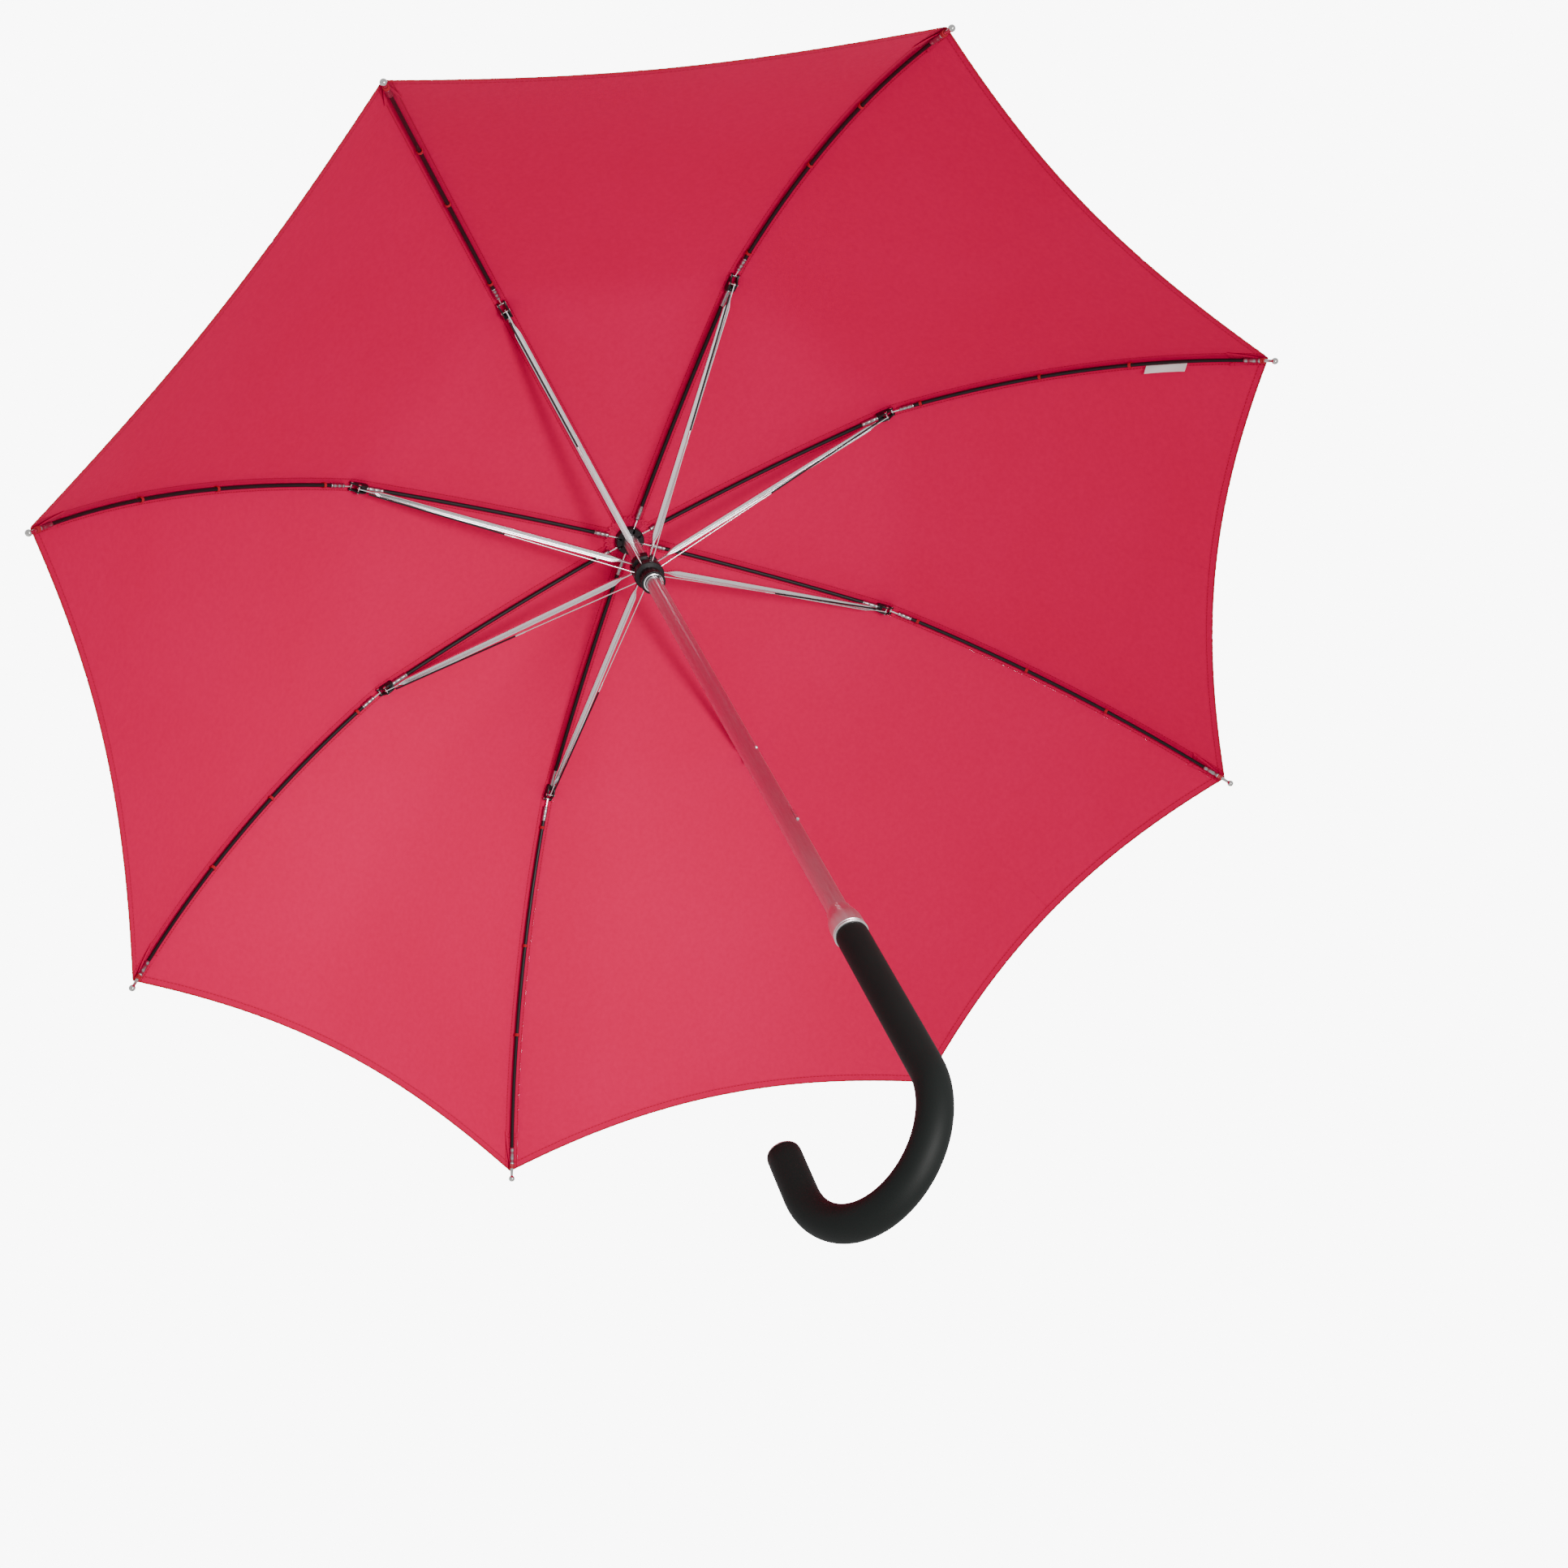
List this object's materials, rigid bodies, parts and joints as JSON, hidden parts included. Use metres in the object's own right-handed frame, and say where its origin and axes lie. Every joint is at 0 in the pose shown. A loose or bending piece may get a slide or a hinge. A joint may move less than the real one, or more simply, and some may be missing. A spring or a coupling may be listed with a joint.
{
  "type": "stick umbrella",
  "caption": "Long stick umbrella with a curved canopy, crook handle and sliding runner; the canopy folds down along the shaft on ribs, stretchers and thin links",
  "frame": {"origin": "on the shaft's axis, half-way up the straight stretch of the grip, where a hand holds it", "axes": "+Z runs along the shaft to the ferrule, +X is the side that the crook hooks towards, the canopy is stored open"},
  "size_m": [0.9478, 0.9478, 0.8744],
  "materials": {
    "canopy_fabric": "woven crimson polyester, slight sheen",
    "rosette_fabric": "woven crimson polyester",
    "strap_fabric": "crimson polyester strap",
    "rib_black": "black fibreglass, satin",
    "stretcher_steel": "bright plated steel channel",
    "link_steel": "bright steel wire",
    "hub_black": "black moulded plastic",
    "shaft_metal": "satin silver tube",
    "ferrule_black": "black moulded plastic",
    "collar_metal": "satin silver, fine turning lines",
    "grip_black": "soft-touch black coating",
    "cap_metal": "thin silver disc in the end of the crook",
    "catch_metal": "sprung steel"
  },
  "bodies": {
    "root": {"shaft_tube": "shaft_metal", "crown": "hub_black", "crown_cap": "hub_black", "ferrule": "ferrule_black", "inner_rosette": "rosette_fabric", "collar": "collar_metal", "grip": "grip_black", "end_cap": "cap_metal"},
    "runner": {"runner": "hub_black"},
    "top_catch": {"top_catch": "catch_metal"},
    "lower_catch": {"lower_catch": "catch_metal"},
    "rib_inner_0": {"rib_inner_0": "rib_black", "gore_0": "canopy_fabric"},
    "rib_mid_0": {"rib_mid_0": "rib_black"},
    "rib_tip_0": {"rib_tip_0": "rib_black"},
    "stretcher_0": {"stretcher_0": "stretcher_steel"},
    "link_0": {"link_0": "link_steel"},
    "rib_inner_1": {"rib_inner_1": "rib_black", "gore_1": "canopy_fabric"},
    "rib_mid_1": {"rib_mid_1": "rib_black"},
    "rib_tip_1": {"rib_tip_1": "rib_black"},
    "stretcher_1": {"stretcher_1": "stretcher_steel"},
    "link_1": {"link_1": "link_steel"},
    "rib_inner_2": {"rib_inner_2": "rib_black", "gore_2": "canopy_fabric"},
    "rib_mid_2": {"rib_mid_2": "rib_black"},
    "rib_tip_2": {"rib_tip_2": "rib_black"},
    "stretcher_2": {"stretcher_2": "stretcher_steel"},
    "link_2": {"link_2": "link_steel"},
    "rib_inner_3": {"rib_inner_3": "rib_black", "gore_3": "canopy_fabric"},
    "rib_mid_3": {"rib_mid_3": "rib_black"},
    "rib_tip_3": {"rib_tip_3": "rib_black"},
    "stretcher_3": {"stretcher_3": "stretcher_steel"},
    "link_3": {"link_3": "link_steel"},
    "rib_inner_4": {"rib_inner_4": "rib_black", "gore_4": "canopy_fabric"},
    "rib_mid_4": {"rib_mid_4": "rib_black"},
    "rib_tip_4": {"rib_tip_4": "rib_black"},
    "stretcher_4": {"stretcher_4": "stretcher_steel"},
    "link_4": {"link_4": "link_steel"},
    "rib_inner_5": {"rib_inner_5": "rib_black", "gore_5": "canopy_fabric"},
    "rib_mid_5": {"rib_mid_5": "rib_black"},
    "rib_tip_5": {"rib_tip_5": "rib_black"},
    "stretcher_5": {"stretcher_5": "stretcher_steel"},
    "link_5": {"link_5": "link_steel"},
    "rib_inner_6": {"rib_inner_6": "rib_black", "gore_6": "canopy_fabric"},
    "rib_mid_6": {"rib_mid_6": "rib_black", "strap": "strap_fabric"},
    "rib_tip_6": {"rib_tip_6": "rib_black"},
    "stretcher_6": {"stretcher_6": "stretcher_steel"},
    "link_6": {"link_6": "link_steel"},
    "rib_inner_7": {"rib_inner_7": "rib_black", "gore_7": "canopy_fabric"},
    "rib_mid_7": {"rib_mid_7": "rib_black"},
    "rib_tip_7": {"rib_tip_7": "rib_black"},
    "stretcher_7": {"stretcher_7": "stretcher_steel"},
    "link_7": {"link_7": "link_steel"}
  },
  "joints": [
    {"name": "canopy_fold", "type": "hinge", "parent": "root", "child": "rib_inner_0", "pos_m": [0.00924, 0.00383, 0.677], "axis": [-0.3827, 0.9239, 0], "range_deg": [0, 81.8], "deforming": ["gore_0", "gore_1", "gore_2", "gore_3", "gore_4", "gore_5", "gore_6", "gore_7", "inner_rosette", "strap"]},
    {"name": "stretcher_pivot_0", "type": "hinge", "parent": "rib_inner_0", "child": "stretcher_0", "pos_m": [0.23665, 0.09803, 0.64678], "axis": [-0.3827, 0.9239, 0], "range_deg": [-164, 0]},
    {"name": "rib_knuckle_0", "type": "hinge", "parent": "rib_inner_0", "child": "rib_mid_0", "pos_m": [0.24262, 0.1005, 0.65045], "axis": [-0.3827, 0.9239, 0], "range_deg": [-27.87, 0]},
    {"name": "rib_flex_0", "type": "hinge", "parent": "rib_mid_0", "child": "rib_tip_0", "pos_m": [0.37343, 0.15468, 0.54921], "axis": [-0.3827, 0.9239, 0], "range_deg": [-15.5, 0]},
    {"name": "rib_fold_1", "type": "hinge", "parent": "root", "child": "rib_inner_1", "pos_m": [0.00383, 0.00924, 0.677], "axis": [-0.9239, 0.3827, 0], "range_deg": [0, 82]},
    {"name": "stretcher_pivot_1", "type": "hinge", "parent": "rib_inner_1", "child": "stretcher_1", "pos_m": [0.09803, 0.23665, 0.64678], "axis": [-0.9239, 0.3827, 0], "range_deg": [-164, 0]},
    {"name": "rib_knuckle_1", "type": "hinge", "parent": "rib_inner_1", "child": "rib_mid_1", "pos_m": [0.1005, 0.24262, 0.65045], "axis": [-0.9239, 0.3827, 0], "range_deg": [-27.87, 0]},
    {"name": "rib_flex_1", "type": "hinge", "parent": "rib_mid_1", "child": "rib_tip_1", "pos_m": [0.15468, 0.37343, 0.54921], "axis": [-0.9239, 0.3827, 0], "range_deg": [-15.5, 0]},
    {"name": "rib_fold_2", "type": "hinge", "parent": "root", "child": "rib_inner_2", "pos_m": [-0.00383, 0.00924, 0.677], "axis": [-0.9239, -0.3827, 0], "range_deg": [0, 82]},
    {"name": "stretcher_pivot_2", "type": "hinge", "parent": "rib_inner_2", "child": "stretcher_2", "pos_m": [-0.09803, 0.23665, 0.64678], "axis": [-0.9239, -0.3827, 0], "range_deg": [-164, 0]},
    {"name": "rib_knuckle_2", "type": "hinge", "parent": "rib_inner_2", "child": "rib_mid_2", "pos_m": [-0.1005, 0.24262, 0.65045], "axis": [-0.9239, -0.3827, 0], "range_deg": [-27.87, 0]},
    {"name": "rib_flex_2", "type": "hinge", "parent": "rib_mid_2", "child": "rib_tip_2", "pos_m": [-0.15468, 0.37343, 0.54921], "axis": [-0.9239, -0.3827, 0], "range_deg": [-15.5, 0]},
    {"name": "rib_fold_3", "type": "hinge", "parent": "root", "child": "rib_inner_3", "pos_m": [-0.00924, 0.00383, 0.677], "axis": [-0.3827, -0.9239, 0], "range_deg": [0, 82]},
    {"name": "stretcher_pivot_3", "type": "hinge", "parent": "rib_inner_3", "child": "stretcher_3", "pos_m": [-0.23665, 0.09803, 0.64678], "axis": [-0.3827, -0.9239, 0], "range_deg": [-164, 0]},
    {"name": "rib_knuckle_3", "type": "hinge", "parent": "rib_inner_3", "child": "rib_mid_3", "pos_m": [-0.24262, 0.1005, 0.65045], "axis": [-0.3827, -0.9239, 0], "range_deg": [-27.87, 0]},
    {"name": "rib_flex_3", "type": "hinge", "parent": "rib_mid_3", "child": "rib_tip_3", "pos_m": [-0.37343, 0.15468, 0.54921], "axis": [-0.3827, -0.9239, 0], "range_deg": [-15.5, 0]},
    {"name": "rib_fold_4", "type": "hinge", "parent": "root", "child": "rib_inner_4", "pos_m": [-0.00924, -0.00383, 0.677], "axis": [0.3827, -0.9239, 0], "range_deg": [0, 82]},
    {"name": "stretcher_pivot_4", "type": "hinge", "parent": "rib_inner_4", "child": "stretcher_4", "pos_m": [-0.23665, -0.09803, 0.64678], "axis": [0.3827, -0.9239, 0], "range_deg": [-164, 0]},
    {"name": "rib_knuckle_4", "type": "hinge", "parent": "rib_inner_4", "child": "rib_mid_4", "pos_m": [-0.24262, -0.1005, 0.65045], "axis": [0.3827, -0.9239, 0], "range_deg": [-27.87, 0]},
    {"name": "rib_flex_4", "type": "hinge", "parent": "rib_mid_4", "child": "rib_tip_4", "pos_m": [-0.37343, -0.15468, 0.54921], "axis": [0.3827, -0.9239, 0], "range_deg": [-15.5, 0]},
    {"name": "rib_fold_5", "type": "hinge", "parent": "root", "child": "rib_inner_5", "pos_m": [-0.00383, -0.00924, 0.677], "axis": [0.9239, -0.3827, 0], "range_deg": [0, 82]},
    {"name": "stretcher_pivot_5", "type": "hinge", "parent": "rib_inner_5", "child": "stretcher_5", "pos_m": [-0.09803, -0.23665, 0.64678], "axis": [0.9239, -0.3827, 0], "range_deg": [-164, 0]},
    {"name": "rib_knuckle_5", "type": "hinge", "parent": "rib_inner_5", "child": "rib_mid_5", "pos_m": [-0.1005, -0.24262, 0.65045], "axis": [0.9239, -0.3827, 0], "range_deg": [-27.87, 0]},
    {"name": "rib_flex_5", "type": "hinge", "parent": "rib_mid_5", "child": "rib_tip_5", "pos_m": [-0.15468, -0.37343, 0.54921], "axis": [0.9239, -0.3827, 0], "range_deg": [-15.5, 0]},
    {"name": "rib_fold_6", "type": "hinge", "parent": "root", "child": "rib_inner_6", "pos_m": [0.00383, -0.00924, 0.677], "axis": [0.9239, 0.3827, 0], "range_deg": [0, 82]},
    {"name": "stretcher_pivot_6", "type": "hinge", "parent": "rib_inner_6", "child": "stretcher_6", "pos_m": [0.09803, -0.23665, 0.64678], "axis": [0.9239, 0.3827, 0], "range_deg": [-164, 0]},
    {"name": "rib_knuckle_6", "type": "hinge", "parent": "rib_inner_6", "child": "rib_mid_6", "pos_m": [0.1005, -0.24262, 0.65045], "axis": [0.9239, 0.3827, 0], "range_deg": [-27.87, 0]},
    {"name": "rib_flex_6", "type": "hinge", "parent": "rib_mid_6", "child": "rib_tip_6", "pos_m": [0.15468, -0.37343, 0.54921], "axis": [0.9239, 0.3827, 0], "range_deg": [-15.5, 0]},
    {"name": "rib_fold_7", "type": "hinge", "parent": "root", "child": "rib_inner_7", "pos_m": [0.00924, -0.00383, 0.677], "axis": [0.3827, 0.9239, 0], "range_deg": [0, 82]},
    {"name": "stretcher_pivot_7", "type": "hinge", "parent": "rib_inner_7", "child": "stretcher_7", "pos_m": [0.23665, -0.09803, 0.64678], "axis": [0.3827, 0.9239, 0], "range_deg": [-164, 0]},
    {"name": "rib_knuckle_7", "type": "hinge", "parent": "rib_inner_7", "child": "rib_mid_7", "pos_m": [0.24262, -0.1005, 0.65045], "axis": [0.3827, 0.9239, 0], "range_deg": [-27.87, 0]},
    {"name": "rib_flex_7", "type": "hinge", "parent": "rib_mid_7", "child": "rib_tip_7", "pos_m": [0.37343, -0.15468, 0.54921], "axis": [0.3827, 0.9239, 0], "range_deg": [-15.5, 0]},
    {"name": "runner_pivot", "type": "hinge", "parent": "stretcher_0", "child": "runner", "pos_m": [0.00924, 0.00383, 0.61655], "axis": [-0.3827, 0.9239, 0], "range_deg": [0, 82]},
    {"name": "link_pivot_0", "type": "hinge", "parent": "runner", "child": "link_0", "pos_m": [0.01053, 0.00436, 0.60055], "axis": [-0.3827, 0.9239, 0], "range_deg": [-78.76, 0]},
    {"name": "link_pivot_1", "type": "hinge", "parent": "runner", "child": "link_1", "pos_m": [0.00436, 0.01053, 0.60055], "axis": [-0.9239, 0.3827, 0], "range_deg": [-78.76, 0]},
    {"name": "link_pivot_2", "type": "hinge", "parent": "runner", "child": "link_2", "pos_m": [-0.00436, 0.01053, 0.60055], "axis": [-0.9239, -0.3827, 0], "range_deg": [-78.76, 0]},
    {"name": "link_pivot_3", "type": "hinge", "parent": "runner", "child": "link_3", "pos_m": [-0.01053, 0.00436, 0.60055], "axis": [-0.3827, -0.9239, 0], "range_deg": [-78.76, 0]},
    {"name": "link_pivot_4", "type": "hinge", "parent": "runner", "child": "link_4", "pos_m": [-0.01053, -0.00436, 0.60055], "axis": [0.3827, -0.9239, 0], "range_deg": [-78.76, 0]},
    {"name": "link_pivot_5", "type": "hinge", "parent": "runner", "child": "link_5", "pos_m": [-0.00436, -0.01053, 0.60055], "axis": [0.9239, -0.3827, 0], "range_deg": [-78.76, 0]},
    {"name": "link_pivot_6", "type": "hinge", "parent": "runner", "child": "link_6", "pos_m": [0.00436, -0.01053, 0.60055], "axis": [0.9239, 0.3827, 0], "range_deg": [-78.76, 0]},
    {"name": "link_pivot_7", "type": "hinge", "parent": "runner", "child": "link_7", "pos_m": [0.01053, -0.00436, 0.60055], "axis": [0.3827, 0.9239, 0], "range_deg": [-78.76, 0]},
    {"name": "top_catch_press", "type": "slide", "parent": "root", "child": "top_catch", "axis": [1, 0, 0], "range_m": [0, 0.0018], "stiffness_N_per_m": 400},
    {"name": "lower_catch_press", "type": "slide", "parent": "root", "child": "lower_catch", "axis": [1, 0, 0], "range_m": [0, 0.0018], "stiffness_N_per_m": 400}
  ],
  "couplings": [
    {"joint": "stretcher_pivot_0", "follows": "canopy_fold", "ratio": -2},
    {"joint": "rib_knuckle_0", "follows": "canopy_fold", "ratio": -0.33821},
    {"joint": "rib_flex_0", "follows": "canopy_fold", "ratio": -0.18704},
    {"joint": "rib_fold_1", "follows": "canopy_fold", "ratio": 1},
    {"joint": "stretcher_pivot_1", "follows": "canopy_fold", "ratio": -2},
    {"joint": "rib_knuckle_1", "follows": "canopy_fold", "ratio": -0.33821},
    {"joint": "rib_flex_1", "follows": "canopy_fold", "ratio": -0.18704},
    {"joint": "rib_fold_2", "follows": "canopy_fold", "ratio": 1},
    {"joint": "stretcher_pivot_2", "follows": "canopy_fold", "ratio": -2},
    {"joint": "rib_knuckle_2", "follows": "canopy_fold", "ratio": -0.33821},
    {"joint": "rib_flex_2", "follows": "canopy_fold", "ratio": -0.18704},
    {"joint": "rib_fold_3", "follows": "canopy_fold", "ratio": 1},
    {"joint": "stretcher_pivot_3", "follows": "canopy_fold", "ratio": -2},
    {"joint": "rib_knuckle_3", "follows": "canopy_fold", "ratio": -0.33821},
    {"joint": "rib_flex_3", "follows": "canopy_fold", "ratio": -0.18704},
    {"joint": "rib_fold_4", "follows": "canopy_fold", "ratio": 1},
    {"joint": "stretcher_pivot_4", "follows": "canopy_fold", "ratio": -2},
    {"joint": "rib_knuckle_4", "follows": "canopy_fold", "ratio": -0.33821},
    {"joint": "rib_flex_4", "follows": "canopy_fold", "ratio": -0.18704},
    {"joint": "rib_fold_5", "follows": "canopy_fold", "ratio": 1},
    {"joint": "stretcher_pivot_5", "follows": "canopy_fold", "ratio": -2},
    {"joint": "rib_knuckle_5", "follows": "canopy_fold", "ratio": -0.33821},
    {"joint": "rib_flex_5", "follows": "canopy_fold", "ratio": -0.18704},
    {"joint": "rib_fold_6", "follows": "canopy_fold", "ratio": 1},
    {"joint": "stretcher_pivot_6", "follows": "canopy_fold", "ratio": -2},
    {"joint": "rib_knuckle_6", "follows": "canopy_fold", "ratio": -0.33821},
    {"joint": "rib_flex_6", "follows": "canopy_fold", "ratio": -0.18704},
    {"joint": "rib_fold_7", "follows": "canopy_fold", "ratio": 1},
    {"joint": "stretcher_pivot_7", "follows": "canopy_fold", "ratio": -2},
    {"joint": "rib_knuckle_7", "follows": "canopy_fold", "ratio": -0.33821},
    {"joint": "rib_flex_7", "follows": "canopy_fold", "ratio": -0.18704},
    {"joint": "runner_pivot", "follows": "canopy_fold", "ratio": 1},
    {"joint": "link_pivot_0", "follows": "canopy_fold", "ratio": -0.96037},
    {"joint": "link_pivot_1", "follows": "canopy_fold", "ratio": -0.96037},
    {"joint": "link_pivot_2", "follows": "canopy_fold", "ratio": -0.96037},
    {"joint": "link_pivot_3", "follows": "canopy_fold", "ratio": -0.96037},
    {"joint": "link_pivot_4", "follows": "canopy_fold", "ratio": -0.96037},
    {"joint": "link_pivot_5", "follows": "canopy_fold", "ratio": -0.96037},
    {"joint": "link_pivot_6", "follows": "canopy_fold", "ratio": -0.96037},
    {"joint": "link_pivot_7", "follows": "canopy_fold", "ratio": -0.96037}
  ]
}
